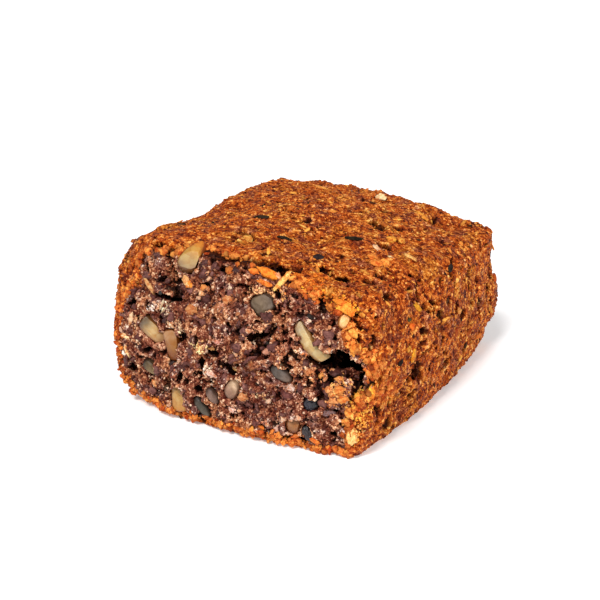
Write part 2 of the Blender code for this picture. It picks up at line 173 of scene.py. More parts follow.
# Single bits laid on the skin: two places, length, width and height in mm, turn in degrees, colour.
BITS = (("cut", (
    (-23.6, 35.2, 5.2, 1.2, 0.7, -62, (212, 166, 110)),
    (-11.3, 38.8, 3.4, 2.4, 1.4, -20, (238, 196, 134)), (-10.2, 38.2, 1.8, 1.8, 1.4, 0, (226, 144, 58)),
    (-6.4, 37.8, 1.7, 1.7, 1.3, 0, (226, 156, 86)), (-6.7, 36.2, 1.6, 1.3, 1, 0, (240, 206, 160)),
    (-18.6, 31.2, 3.4, 0.7, 0.6, 75, (214, 200, 168)), (-17.2, 30.6, 4.2, 0.6, 0.6, 60, (190, 172, 138)),
    (-19.2, 27.4, 3.4, 0.8, 0.6, 48, (230, 206, 172)), (-15.4, 26.8, 3, 1, 0.6, -25, (222, 200, 166)),
    (-8, 32.6, 2.8, 2.6, 1.4, 0, (192, 134, 84)), (-2.4, 28.3, 1.2, 1.1, 0.9, 0, (252, 244, 238)),
    (-29.2, 25, 3.4, 1.5, 1.3, 80, (226, 192, 152)), (1.6, 36.4, 2.4, 2.6, 1.3, 10, (204, 148, 98)),
    (1.2, 43.4, 4, 2, 1.3, -50, (196, 118, 54)), (-1, 45, 3, 1.6, 1.2, 10, (226, 146, 66)),
    (-2.8, 22.8, 1.8, 1.8, 1.2, 0, (212, 158, 98)), (-0.4, 25.2, 2.4, 1.2, 0.9, 0, (222, 170, 156)),
    (7.8, 12.2, 2.5, 2.3, 1.5, 0, (202, 146, 98)), (10, 21.4, 3.6, 3, 1.6, 30, (160, 104, 66)),
    (-31.2, 19.6, 3.2, 1.5, 1.5, -10, (250, 218, 164)),
    (-30.8, 15.6, 3.6, 0.9, 1.3, -68, (250, 216, 160)), (-32.2, 14.6, 1.4, 1.4, 0.9, 0, (254, 246, 228)),
    (-20.4, 9.4, 2.6, 1.2, 0.8, -10, (222, 164, 108)), (-1.2, 16.6, 2.8, 1.3, 0.8, -20, (222, 188, 170)),
    (4.8, 8.2, 1.9, 1.8, 1.2, 0, (236, 208, 196)), (17.2, 5, 2.2, 1.7, 1.1, 50, (220, 182, 164)),
    (4.4, 18.6, 1.8, 1.2, 0.9, 0, (216, 196, 140)), (-13, 40.8, 2.2, 1.2, 0.8, 30, (214, 160, 100)),
    (33.6, 38.9, 4.6, 2.4, 1.6, -22, (252, 164, 60)), (31.6, 40.2, 3.4, 1.8, 1.2, -20, (232, 138, 44)),
    (36.2, 33.4, 2.6, 2, 1.2, -60, (238, 164, 72)), (36.9, 29.8, 3.4, 1.8, 1.2, 85, (232, 150, 60)),
    (37, 6.8, 4.4, 2.4, 1.4, 86, (252, 206, 128)), (38, 15.6, 4, 2, 1.3, -60, (250, 178, 70)),
    (36.6, 13, 3, 1.8, 1.2, -50, (248, 184, 92)), (40.6, 18.4, 4.4, 1.6, 1.3, 80, (252, 182, 66)),
    (35.4, 10.4, 2.6, 1.8, 1.2, 60, (230, 166, 82)), (33.5, 21.4, 2.2, 1.6, 1.2, 40, (226, 156, 88)),
    (34.9, 19.7, 2.6, 1.9, 1.2, 20, (220, 142, 70)), (31.9, 19.2, 1.9, 1.6, 1.2, 70, (228, 164, 104)),
    (33.6, 17, 2.6, 1.6, 1.2, -10, (214, 146, 88)), (35.9, 17.6, 2.4, 1.7, 1.2, 0, (224, 150, 76)),
    (37.4, 16.2, 3, 1.6, 1.2, -20, (240, 166, 78)), (26.4, 22.6, 2.6, 1.7, 1.2, 0, (212, 146, 96)),
    (28.6, 21.2, 1.6, 1.4, 1.2, 0, (224, 158, 84)), (13.8, 25, 2.8, 1.6, 1.2, 20, (198, 142, 116)),
    (21.4, 17.4, 2.2, 1.6, 1, 0, (220, 192, 176)), (31, 12, 3.6, 1.6, 1.2, 15, (128, 104, 104)),
    (24, 30.6, 1.6, 1.1, 0.8, 0, (176, 120, 78)), (28.2, 4.4, 3.2, 1.8, 1, 0, (226, 128, 50)),
    (22, 3.9, 2.6, 1.4, 1, 10, (206, 116, 52)), (12, 4.4, 3, 1.3, 1, -5, (216, 118, 40)),
    (11.4, 43.2, 7.2, 2.3, 1.9, -16, (242, 146, 46)), (13.8, 42.5, 3.6, 1.3, 1.1, -22, (252, 200, 150)),
    (11.6, 42, 4, 1.5, 1.2, -10, (226, 128, 46)), (7.6, 43.9, 2.6, 1.6, 1.2, 0, (236, 142, 54)),
    (15.4, 42.4, 6.4, 1.4, 1.3, 62, (255, 210, 120)),
)), ("top", (
    (-4.9, -23.6, 5.6, 2.4, 0.7, 12, (228, 168, 78)), (3.6, -10, 3.4, 2.2, 0.6, 0, (240, 186, 92)),
    (25, 0.2, 2.6, 2.8, 1.4, 0, (226, 160, 60)), (27, 2, 2.2, 2.6, 1.3, 40, (222, 158, 66)),
    (24.5, -6.9, 4.2, 1.6, 0.7, -35, (240, 204, 160)), (34, -6.8, 4.6, 2, 0.8, -25, (238, 190, 110)),
    (30.5, -10.2, 3.6, 1.2, 0.6, -30, (236, 206, 150)), (3.2, 37.6, 3, 3.4, 1.6, 20, (240, 214, 160)),
    (19.6, 32, 5.6, 2.4, 0.7, -20, (232, 160, 60)), (-14.6, 31.6, 4, 2.4, 0.7, 0, (226, 158, 72)),
    (27.2, -15, 3.4, 3, 1.4, 0, (236, 150, 62)), (30.6, -14.4, 3.2, 2.6, 1.4, 0, (242, 160, 70)),
    (30.2, -19.2, 3.4, 2.6, 1.3, 30, (228, 136, 54)),
)), ("side", (
    (-16, 32.4, 1.8, 3.4, 0.7, 15, (214, 156, 40)), (-22.2, 21.5, 2.2, 3.2, 0.9, -20, (226, 166, 44)),
    (-20.7, 28.7, 1.8, 1.8, 0.8, 0, (222, 112, 34)), (-24, 23.9, 2.8, 1.4, 0.7, 10, (206, 150, 56)),
    (5.5, 29.5, 2.6, 1.4, 0.7, 30, (208, 140, 54)), (-9, 33.4, 1.6, 1.6, 0.8, 0, (216, 138, 50)),
    (8, 23.6, 3.4, 1.8, 0.7, -30, (210, 146, 66)),
)))
# Clusters of loose pale crumbs: two places, half length and half width in mm, turn, count, colour.
FLUFFS = (("cut", (
    (-21.8, 29.8, 2.6, 1.5, 15, 70, (255, 240, 222)), (-17.6, 29.8, 2.2, 2.8, 60, 60, (250, 226, 196)),
    (-12.4, 26.6, 2.4, 1.1, -45, 44, (232, 196, 156)), (-5, 23.2, 2.6, 1.7, -10, 76, (252, 216, 156)),
    (-1, 25.6, 2, 1.2, 0, 34, (214, 172, 150)), (-27.6, 25.2, 1.6, 1.3, 0, 30, (230, 192, 146)),
    (-20.6, 9.8, 1.8, 1.1, -10, 34, (238, 186, 138)), (-2.6, 17.4, 2.2, 1.6, 30, 50, (250, 224, 198)),
    (5.6, 15.8, 1.9, 1.2, 50, 36, (248, 222, 190)), (5.4, 8.4, 1.5, 1, 0, 28, (232, 198, 172)),
    (11.6, 30.8, 2.4, 1.2, 20, 36, (216, 164, 124)), (17.4, 26, 1.4, 3, 15, 50, (214, 150, 112)),
    (24.4, 25.6, 2.6, 1.6, -20, 50, (222, 158, 110)), (28.2, 22, 2.2, 2, 0, 56, (230, 160, 106)),
    (33.9, 19.4, 3, 2.6, -20, 210, (246, 180, 108)), (36.8, 16.4, 2.6, 1.3, -25, 80, (246, 172, 84)),
    (31.6, 14.6, 2.8, 1.2, 10, 54, (226, 150, 94)), (12.6, 13.8, 2.6, 1, 0, 34, (206, 178, 138)),
    (0.6, 34.6, 2.6, 1.4, 0, 40, (206, 150, 118)), (10.6, 39.6, 3.6, 1.3, -6, 70, (240, 184, 130)),
    (16, 39.6, 2, 1.6, 0, 40, (242, 184, 118)), (21.6, 16.2, 3, 1.4, -12, 46, (214, 170, 148)),
    (-14.6, 21.2, 0.9, 2.6, 15, 22, (222, 160, 104)), (-28.6, 36.2, 2.2, 1.4, 40, 36, (206, 150, 100)),
    (-22.6, 42.6, 3.4, 1, 8, 40, (176, 140, 112)), (13.4, 6.4, 3, 1.2, 0, 34, (206, 150, 120)),
    (38.4, 14.6, 1.6, 5.6, 10, 170, (250, 176, 72)), (37.2, 6.8, 1.7, 3.6, 0, 60, (246, 190, 108)),
    (33.4, 39.4, 3.6, 1.9, -28, 150, (252, 160, 52)),
)), ("top", (
    (30.4, -17, 2.6, 3.6, 20, 90, (244, 152, 52)),
)), ("cut", (
    (22.6, 42.2, 4.6, 1.3, -18, 110, (244, 142, 44)), (-12, 14.6, 2.2, 1, 0, 26, (196, 138, 108)),
)))
# Dark seeds lying in the crust, with the measures of the bits.
KERNELS = (("top", (
    (17.2, -6.8, 5.6, 2, 1, 6, (46, 36, 24)), (3.8, -20.6, 4.4, 1.8, 1, 8, (50, 38, 28)),
    (-11.4, -7.8, 5, 1.8, 1, 14, (50, 38, 26)), (16.7, -25, 2.8, 2.4, 1, 30, (54, 42, 42)),
    (6, -5.6, 4, 2.2, 1, 0, (52, 30, 18)),
)), ("side", (
    (6, 36.2, 2.6, 1.6, 0.9, 50, (46, 38, 34)), (-20.7, 30.4, 1.8, 1, 0.8, 0, (70, 66, 40)),
    (-28, 21.6, 2.4, 1.4, 0.9, 20, (48, 36, 30)),
)), ("cut", (
    (24.6, 35.7, 2, 1.2, 0.9, -20, (60, 54, 52)), (12.4, 26.2, 1.8, 1.6, 0.9, 0, (70, 64, 60)),
    (-19.8, 34, 1.4, 1.2, 0.8, 0, (56, 54, 52)), (-14.4, 16.4, 1.8, 1.2, 0.8, 60, (74, 62, 60)),
)))

# Strewn bits: how many, least and largest width in mm, how rare the large ones are, height, share sunk in,
# tilt and slimness; then the two tints that each is mixed from, and how much its shade varies.
STREWN = {
    "crumb_chunks": ((190, 1, 3, 1.6, 0.45, 0.6, 0.35, 1), (84, 38, 32), (136, 88, 78), 0.2),
    "crumb_specks": ((210, 0.5, 1.4, 1.8, 0.6, 0.3, 0.35, 1), (202, 146, 102), (240, 212, 184), 0.1),
    "lip_crumbs": ((760, 0.4, 2, 2, 0.7, 0.4, 0.35, 1), (172, 74, 22), (246, 164, 76), 0.2),
    "edge_crumbs": ((620, 0.4, 1.8, 2, 0.7, 0.4, 0.35, 1), (172, 74, 22), (246, 164, 76), 0.2),
    "flakes": ((440, 1.2, 3.4, 1.8, 0.2, 0.4, 0.12, 0.45), (164, 74, 22), (250, 182, 78), 0.15),
    "kernels": ((28, 1.2, 2.8, 1.6, 0.4, 0.5, 0.15, 0.5), (48, 28, 16), (84, 56, 36), 0.2),
}
GRAINS = {  # the same measures, then the middle tone
    "crust_grains_top": ((7600, 0.3, 1.1, 2.2, 0.5, 0.5, 0.25, 1), 0.5),
    "crust_grains_right": ((4400, 0.3, 1.1, 2.2, 0.5, 0.5, 0.25, 1), 0.5),
    "crust_grains_rest": ((8600, 0.3, 1.1, 2.2, 0.5, 0.5, 0.25, 1), 0.5),
    "crumb_grains": ((7400, 0.3, 1.1, 2.2, 0.6, 0.45, 0.25, 1), 0.43),
    "crumb_grains_pale": ((3900, 0.25, 0.75, 2.2, 0.6, 0.45, 0.25, 1), 0.7),
}
FLUFF_SHARE = 1.3  # pale crumbs for each one counted above


def smoothstep(low, high, value):
    """0 below low, 1 above high, smooth between. Takes numbers or arrays."""
    share = np.clip((value - low) / (high - low), 0.0, 1.0)
    return share * share * (3.0 - 2.0 * share)


def new_object(name, data, smooth=True):
    """An object of a mesh, a lamp or a camera; a mesh has its place in itself."""
    made = bpy.data.objects.new(name, data)
    bpy.context.scene.collection.objects.link(made)
    if smooth:
        data.shade_smooth()
    return made


def finish_piece(made, finish, replaced=()):
    """Give a piece its material and its body, and hide the CAD nodes that it stands for."""
    made.data.materials.append(finish)
    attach(made, "root")
    for name in replaced:
        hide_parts(name)


def read_all(rows, name, width):
    """One value of every row of a mesh's data, as an array."""
    flat = np.empty(len(rows) * width, np.float32)
    rows.foreach_get(name, flat)
    return flat.reshape(-1, width).astype(float)


def points_of(mesh):
    """The mesh's vertices as an array."""
    return read_all(mesh.vertices, "co", 3)


def normals_of(mesh):
    """The mesh's vertex normals as an array."""
    return read_all(mesh.vertex_normals, "vector", 3)


def masks_of(mesh, *names):
    """The mesh's masks as arrays."""
    return [read_all(mesh.attributes[name].data, "value", 1)[:, 0] for name in names]


def move_points(mesh, points):
    """Give the mesh's vertices new places."""
    mesh.vertices.foreach_set("co", points.astype(np.float32).ravel())
    mesh.update()


def add_mask(mesh, name, values):
    """A float attribute on the mesh's vertices."""
    layer = mesh.attributes.new(name, "FLOAT", "POINT")
    layer.data.foreach_set("value", np.asarray(values, np.float32))


def add_tint(mesh, colours):
    """A colour attribute on the mesh's vertices, in linear light."""
    layer = mesh.color_attributes.new("tint", "FLOAT_COLOR", "POINT")
    rows = np.concatenate([colours, np.ones((len(colours), 1))], axis=1)
    layer.data.foreach_set("color", rows.astype(np.float32).ravel())


def linear(colours):
    """Colours given as 0 to 255, in linear light."""
    share = np.asarray(colours, float) / 255
    return np.where(share > 0.04045, ((share + 0.055) / 1.055) ** 2.4, share / 12.92)


def clumps(points, size, shift=0.0):
    """Distance to the nearest of scattered centres: 0 on a clump, about 1 in the crease between two."""
    moved = points / size + shift
    return np.array([noise.voronoi(Vector(p))[0][0] for p in moved])


def waves(points, size, shift=0.0):
    """Smooth noise, from -1 to 1."""
    moved = points / size + shift
    return np.array([noise.noise(Vector(p)) for p in moved])


def nearest_of(points):
    """A tree that finds the nearest of some points."""
    tree = KDTree(len(points))
    for number, point in enumerate(points):
        tree.insert(Vector(point), number)
    tree.balance()
    return tree


def inside_outline(x, h, outline):
    """Signed distance to the outline, above 0 inside it."""
    corners = np.array(outline, float)
    inside = np.zeros(len(x), bool)
    nearest = np.full(len(x), 1e9)
    for (ax, ah), (bx, bh) in zip(corners, np.roll(corners, -1, axis=0)):
        crosses = ((ah > h) != (bh > h)) & (x < (bx - ax) * (h - ah) / (bh - ah + 1e-12) + ax)
        inside ^= crosses
        run, rise = bx - ax, bh - ah
        along = np.clip(((x - ax) * run + (h - ah) * rise) / (run ** 2 + rise ** 2), 0, 1)
        nearest = np.minimum(nearest, np.hypot(x - ax - along * run, h - ah - along * rise))
    return np.where(inside, nearest, -nearest)


def cut_distance(points):
    """How far inside the cut each point lies, in mm; below 0 on the crust."""
    mm = points / MM
    height = mm[:, 2] + LIP_LEAN * (mm[:, 1] - CUT_FRONT)
    distance = inside_outline(mm[:, 0], height, CUT_OUTLINE)
    return np.where(mm[:, 1] < CUT_BACK, distance, -9.0)


@contextmanager
def edited(mesh, source=None):
    """The mesh, or a source for it, as a bmesh that is written to the mesh afterwards."""
    bm = bmesh.new()
    bm.from_mesh(source or mesh)
    yield bm
    bm.to_mesh(mesh)
    bm.free()


def merged_copy(node_name):
    """A closed copy of a CAD node's mesh, its doubles merged."""
    mesh = bpy.data.meshes.new(node_name + "_copy")
    with edited(mesh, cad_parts[node_name].data) as bm:
        bmesh.ops.remove_doubles(bm, verts=bm.verts, dist=1e-6)
    return mesh


def remeshed(mesh, voxel, name):
    """The mesh as even small quads."""
    held = new_object(name + "_held", mesh, smooth=False)
    remesh = held.modifiers.new("even_quads", "REMESH")
    remesh.mode = "VOXEL"
    remesh.voxel_size = voxel
    graph = bpy.context.evaluated_depsgraph_get()
    made = bpy.data.meshes.new_from_object(held.evaluated_get(graph))
    made.name = name
    bpy.data.objects.remove(held, do_unlink=True)
    bpy.data.meshes.remove(mesh)
    return made


def smoothed(bm, verts, times):
    """Even out some vertices."""
    for _ in range(times):
        bmesh.ops.smooth_vert(bm, verts=verts, factor=0.5, use_axis_x=True, use_axis_y=True, use_axis_z=True)


# Places on the loaf


def caster(mesh):
    """A tree that rays can be cast on."""
    mesh.calc_loop_triangles()
    return BVHTree.FromPolygons([v.co for v in mesh.vertices], [p.vertices for p in mesh.polygons])


def basis(normal, run):
    """Axes along run, across it and out of the surface, as the columns of a matrix."""
    side = np.cross(normal, run)
    side /= np.linalg.norm(side)
    return np.stack([np.cross(side, normal), side, normal], axis=1)


def spot(tree, face, first, second, turn=0.0):
    """Where a ray meets the loaf: the place, and axes turned by some degrees within the face."""
    start, run, across, along = (np.array(v, float) for v in FACES[face])
    start = (start + first * across + second * along) * MM
    place = tree.ray_cast(Vector(start), Vector(run))[0]
    if place is None:  # the ray passes beside the loaf, so take the nearest place
        place = tree.find_nearest(Vector(start + RAY_TO_LOAF * MM * run))[0]
    near = [tree.find_nearest(place + Vector(a * across + b * along) * SPOT_REACH)[1]
            for a, b in ((0, 0), (1, 0), (-1, 0), (0, 1), (0, -1))]
    normal = np.array(sum(near, Vector()).normalized())
    angle = math.radians(turn)
    return np.array(place), basis(normal, math.cos(angle) * across + math.sin(angle) * along)


def each_row(table):
    """The rows of a table, each with the face that it lies on."""
    return [(face, *row) for face, rows in table for row in rows]


def marks_by_hand(tree, table):
    """Marks for press: a place, the axes and the half sizes with the depth."""
    marks = []
    for face, first, second, long, wide, depth, turn in each_row(table):
        marks.append((*spot(tree, face, first, second, turn), (long * MM, wide * MM, depth * MM)))
    return marks


def marks_by_chance(mesh, count, weight, small, large, stretch, draw):
    """Small random pits over the mesh, more where weight says so."""
    places, normals, _ = surface_spots(mesh, count, weight, draw)
    radius = (small + (large - small) * draw.random(count) ** 2.8) * MM
    axes = turned_bases(normals, draw, 0.1)
    long = radius * draw.uniform(1.0, stretch, count)
    depth = radius * draw.uniform(1.0, 1.8, count) + 0.3 * MM
    return list(zip(places, axes, zip(long, radius, depth)))


def press(points, marks):
    """How deep the marks reach at each point, in metres."""
    tree = nearest_of(points)
    pressed = np.zeros(len(points))
    for place, axes, (long, wide, depth) in marks:
        near = np.array([found[1] for found in tree.find_range(place, 1.3 * max(long, wide))], int)
        if not len(near):
            continue
        off = (points[near] - place) @ axes / (long, wide, 3 * wide)
        reach = np.linalg.norm(off, axis=1)
        reach += 0.32 * np.array([noise.noise(p) for p in points[near] / (0.9 * MM)])
        pressed[near] = np.maximum(pressed[near], depth * (1 - smoothstep(0.45, 1.05, reach)))
    return pressed


# The loaf


def blurred(grid, steps):
    """Sums over a square window of a grid, some steps to each side."""
    for _ in range(2):
        run = np.cumsum(np.pad(grid, ((steps + 1, steps), (0, 0))), axis=0)
        grid = (run[2 * steps + 1:] - run[:-2 * steps - 1]).T
    return grid


def behind(points, axis, sign, chosen, reach):
    """How far each chosen point lies behind its surroundings, in mm; 0 for the others."""
    height = sign * points[chosen, axis] / MM
    flat = np.delete(points[chosen], axis, axis=1) / ENVELOPE_CELL
    cells = tuple((flat - flat.min(axis=0)).astype(int).T)
    front = np.full([c.max() + 1 for c in cells], -np.inf)
    np.maximum.at(front, cells, height)
    known = np.isfinite(front)
    steps = round(reach * MM / ENVELOPE_CELL)
    mean = blurred(np.where(known, front, 0.0), steps) / np.maximum(blurred(known.astype(float), steps), 1e-9)
    found = np.zeros(len(points))
    found[chosen] = mean[cells] - height
    return found


def sunk(points, depth, reach):
    """How far each point lies behind its surroundings on the cut, the top and the right side."""
    x, y, z = (points / MM).T
    crust = depth <= -0.6
    regions = (
        (1, -1.0, ~crust & (y < -25)),
        (2, 1.0, crust & (z > 37) & (x > -27) & (x < 36) & (y < 44)),
        (0, 1.0, crust & (x > 32) & (z < 34) & (z > 3) & (y < 42)),
    )
    return sum(behind(points, axis, sign, chosen, reach) for axis, sign, chosen in regions)


def even_skin():
    """The loaf as even quads, half as large on the cut, with one flat face underneath."""
    mesh = remeshed(merged_copy("loaf"), SKIN_VOXEL, "loaf_skin")
    with edited(mesh) as bm:
        low = 0.6 * SKIN_VOXEL
        under = [f for f in bm.faces if f.normal.z < -0.9 and all(v.co.z < low for v in f.verts)]
        bmesh.ops.dissolve_faces(bm, faces=under, use_verts=True)
        front = cut_distance(np.array([v.co for v in bm.verts])) > -1.5
        bm.verts.index_update()
        edges = [e for e in bm.edges if front[e.verts[0].index] and front[e.verts[1].index]]
        bmesh.ops.subdivide_edges(bm, edges=edges, cuts=1, use_grid_fill=True)
        smoothed(bm, [v for v in bm.verts if v.co.z > SKIN_VOXEL], 2)
    return mesh


def piece_distance(points):
    """Distance in mm from each point to the nearest nut, seed or raisin."""
    nodes = [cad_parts[name] for names in PIECES.values() for name in names]
    tree = nearest_of(np.concatenate([points_of(node.data) for node in nodes]))
    near = np.full(len(points), 9.0)
    front = np.nonzero(points[:, 1] < -30 * MM)[0]
    near[front] = [tree.find(Vector(points[i]))[2] / MM for i in front]
    return near


def loaf_skin():
    """The loaf with its fine crumb and crust."""
    draw = np.random.default_rng(77)
    mesh = even_skin()
    points, normals = points_of(mesh), normals_of(mesh)
    depth = cut_distance(points)
    torn = smoothstep(-0.7, 0.7, depth + 1.3 * waves(points, 2.4 * MM, 4.0))
    by_piece = smoothstep(0.2, 1.3, piece_distance(points))
    collar = torn * (1 - smoothstep(0.9, 2.6, piece_distance(points))) * by_piece
    off_floor = smoothstep(0.1, 1.6, points[:, 2] / MM)

    bend = np.stack([waves(points, 3.0 * MM, shift) for shift in (11.0, 23.0, 37.0)], axis=1)
    bent = points + 1.1 * MM * bend
    coarse = clumps(bent, LUMPS[0])
    middle = clumps(bent, LUMPS[1], 5.0)
    fine = clumps(points, LUMPS[2], 7.0)
    crumb = 1.55 * (0.5 - coarse) + 0.7 * (0.5 - middle) + 0.3 * (0.5 - fine)
    crumb += 0.2 * waves(points, 0.7 * MM, 3.0)
    crumb = crumb * (0.2 + 0.8 * by_piece) + 0.35 * collar

    knobs = clumps(bent, KNOBS[0], 3.0)
    lumps = clumps(bent, KNOBS[1], 13.0)
    crust = 0.9 * (0.5 - knobs) + 0.45 * (0.5 - lumps) + 0.3 * waves(points, 0.8 * MM, 9.0)
    crust *= (0.4 + 0.6 * by_piece) * (1 - 0.35 * smoothstep(0.5, 0.9, normals[:, 2]))

    rays = caster(mesh)
    marks = marks_by_hand(rays, TEARS)
    baked = (1 - torn) * off_floor * by_piece * (1 - 0.55 * smoothstep(0.5, 0.9, normals[:, 2]))
    marks += marks_by_chance(mesh, CRUST_PITS, baked, 0.4, 1.7, 2.4, draw)
    marks += marks_by_chance(mesh, CRUMB_PITS, torn * by_piece, 0.3, 1.3, 2.6, draw)
    pressed = press(points, marks) * (0.1 + 0.9 * by_piece)
    raised = press(points, marks_by_hand(rays, MOUNDS)) * by_piece

    lift = ((torn * crumb + (1 - torn) * crust) * MM - pressed + raised) * off_floor
    points += normals * lift[:, None]
    points[:, 2] = np.maximum(points[:, 2], 0.0)
    move_points(mesh, points)
    # Painted shade: the mask below marks pits, tears and places sunk behind their surroundings, where the
    # colour is later turned near black; grains and flakes are kept out of it.
    deep = smoothstep(1.8, 4.4, sunk(points, depth, 5.5))
    low = sunk(points, depth, 1.5)
    painted_shade = np.clip(smoothstep(0.2, 1.1, pressed / MM) + deep + 0.7 * smoothstep(0.5, 1.3, low), 0, 1)
    # Painted light and shade: high is above 0 on spots raised above their surroundings and below 0 on sunk
    # ones; it lightens the tone of raised spots and darkens sunk ones.
    high = np.clip(-low / 0.8, -1, 1)
    for name, values in (("torn", torn), ("painted_shade", painted_shade), ("into_cut", depth), ("high", high)):
        add_mask(mesh, name, values)
    return mesh


def part_skin(mesh, finish):
    """Part the skin by planes into closed pieces, with hidden flat ends where they meet."""
    ahead, behind = ((0, CUT_END, 0), (0, 1, 0)), ((0, CUT_END, 0), (0, -1, 0))
    left, right = ((0, 0, 0), (1, 0, 0)), ((0, 0, 0), (-1, 0, 0))
    for name, planes in (
        ("loaf_cut_left", (ahead, left)), ("loaf_cut_right", (ahead, right)),
        ("loaf_left", (behind, left)), ("loaf_right", (behind, right)),
    ):
        piece = bpy.data.meshes.new(name)
        with edited(piece, mesh) as bm:
            for place, away in planes:
                bmesh.ops.bisect_plane(
                    bm, geom=bm.verts[:] + bm.edges[:] + bm.faces[:], plane_co=place, plane_no=away,
                    dist=1e-7, clear_outer=True,
                )
                rim = [e for e in bm.edges if e.is_boundary]
                for made in bmesh.ops.holes_fill(bm, edges=rim, sides=0)["faces"]:
                    made.smooth = False
                for edge in rim:
                    edge.smooth = False
        finish_piece(new_object(name, piece, smooth=False), finish, ["loaf"])


# Small things joined into one mesh for each kind


def lump_shapes(count, rings, rough, draw, bend=0.0):
    """A few uneven lumps about one unit across, all with the same faces."""
    shapes = []
    for _ in range(count):
        bm = bmesh.new()
        bmesh.ops.create_icosphere(bm, subdivisions=rings, radius=0.5)
        shift = Vector(draw.uniform(-9, 9, 3))
        for vert in bm.verts:
            vert.co *= 1.0 + rough * noise.noise(vert.co * 2.6 + shift) + 0.3 * rough * draw.uniform(-1, 1)
            vert.co.z += bend * (vert.co.x ** 2 - 0.5 * vert.co.y)
        corners = np.array([v.co for v in bm.verts])
        faces = np.array([[v.index for v in f.verts] for f in bm.faces])
        bm.free()
        shapes.append((corners, faces))
    return shapes


def surface_spots(mesh, count, weight, draw):
    """Random places on the mesh, more where weight says so: places, normals and a nearby vertex of each."""
    mesh.calc_loop_triangles()
    corners = np.empty(len(mesh.loop_triangles) * 3, np.int32)
    mesh.loop_triangles.foreach_get("vertices", corners)
    corners = corners.reshape(-1, 3)
    points = points_of(mesh)
    a, b, c = (points[corners[:, i]] for i in range(3))
    across = np.cross(b - a, c - a)
    area = np.linalg.norm(across, axis=1)
    chance = area * weight[corners].mean(axis=1)
    chosen = draw.choice(len(corners), size=count, p=chance / chance.sum())
    u, v = draw.random(count), draw.random(count)
    over = u + v > 1
    u[over], v[over] = 1 - u[over], 1 - v[over]
    places = a[chosen] + u[:, None] * (b - a)[chosen] + v[:, None] * (c - a)[chosen]
    normals = across[chosen] / area[chosen][:, None]
    return places, normals, corners[chosen, 0]


def turned_bases(normals, draw, tilt):
    """A random turn about each normal, tipped a little, as 3 by 3 matrices."""
    up = normals + draw.normal(0, tilt, normals.shape)
    up /= np.linalg.norm(up, axis=1)[:, None]
    side = np.cross(up, draw.normal(0, 1, up.shape))
    side /= np.linalg.norm(side, axis=1)[:, None]
    return np.stack([side, np.cross(up, side), up], axis=2)


def joined(name, shapes, places, bases, sizes, finish, tones=None, tints=None):
    """One mesh of many small things: each has a place, a turn, three sizes, and its own tone or tint."""
    kinds = np.random.default_rng(len(places)).integers(0, len(shapes), len(places))
    corners = np.stack([s[0] for s in shapes])[kinds]
    faces = shapes[0][1]
    turned = np.einsum("nij,nkj->nki", bases, corners * sizes[:, None, :]) + places[:, None, :]
    per = corners.shape[1]
    loops = (faces[None] + (np.arange(len(places)) * per)[:, None, None]).reshape(-1).astype(np.int32)
    turned[:, :, 2] = np.maximum(turned[:, :, 2], 0.02 * MM)
    mesh = bpy.data.meshes.new(name)
    mesh.vertices.add(len(places) * per)
    mesh.vertices.foreach_set("co", turned.astype(np.float32).ravel())
    mesh.loops.add(len(loops))
    mesh.loops.foreach_set("vertex_index", loops)
    mesh.polygons.add(len(loops) // 3)
    mesh.polygons.foreach_set("loop_start", np.arange(0, len(loops), 3, dtype=np.int32))
    mesh.update(calc_edges=True)
    if tones is not None:
        add_mask(mesh, "tone", np.repeat(tones, per))
    if tints is not None:
        add_tint(mesh, np.repeat(tints, per, axis=0))
    finish_piece(new_object(name, mesh), finish)


def join_by_hand(name, shapes, tree, rows, sink, finish):
    """One mesh of single bits, each at its spot with its own turn, sizes and tint."""
    places, bases, sizes, tints = [], [], [], []
    for face, first, second, long, wide, high, turn, colour in rows:
        place, axes = spot(tree, face, first, second, turn)
        places.append(place + axes[:, 2] * high * (0.5 - sink) * MM)
        bases.append(axes)
        sizes.append((long * MM, wide * MM, high * MM))
        tints.append(linear(colour))
    joined(name, shapes, *map(np.array, (places, bases, sizes)), finish, tints=np.array(tints))


def laid_by_chance(mesh, weight, draw, count, low, high, power, flat, sink, tilt, slim):
    """Places, turns and sizes of scattered things, low to high mm across, and the nearest vertex of each."""
    places, normals, nearest = surface_spots(mesh, count, weight, draw)
    width = (low + (high - low) * draw.random(count) ** power) * MM
    sizes = width[:, None] * draw.uniform(0.8, 1.2, (count, 3)) * (1.0, slim, flat)
    places = places + normals * (sizes[:, 2] * (0.5 - sink))[:, None]
    places[:, 2] = np.maximum(places[:, 2], 0.5 * sizes[:, 2])
    return places, turned_bases(normals, draw, tilt), sizes, nearest


def strew(name, shapes, mesh, weight, draw, finish):
    """One mesh of scattered bits, each a mix of two tints and a little off in shade."""
    (count, *measures), low, high, spread = STREWN[name]
    places, bases, sizes, _ = laid_by_chance(mesh, weight, draw, count, *measures)
    share = draw.random((count, 1))
    shade = 1 + spread * draw.normal(0, 1, (count, 1))
    tints = np.clip((linear(low) * (1 - share) + linear(high) * share) * shade, 0.0, 1.0)
    joined(name, shapes, places, bases, sizes, finish, tints=tints)


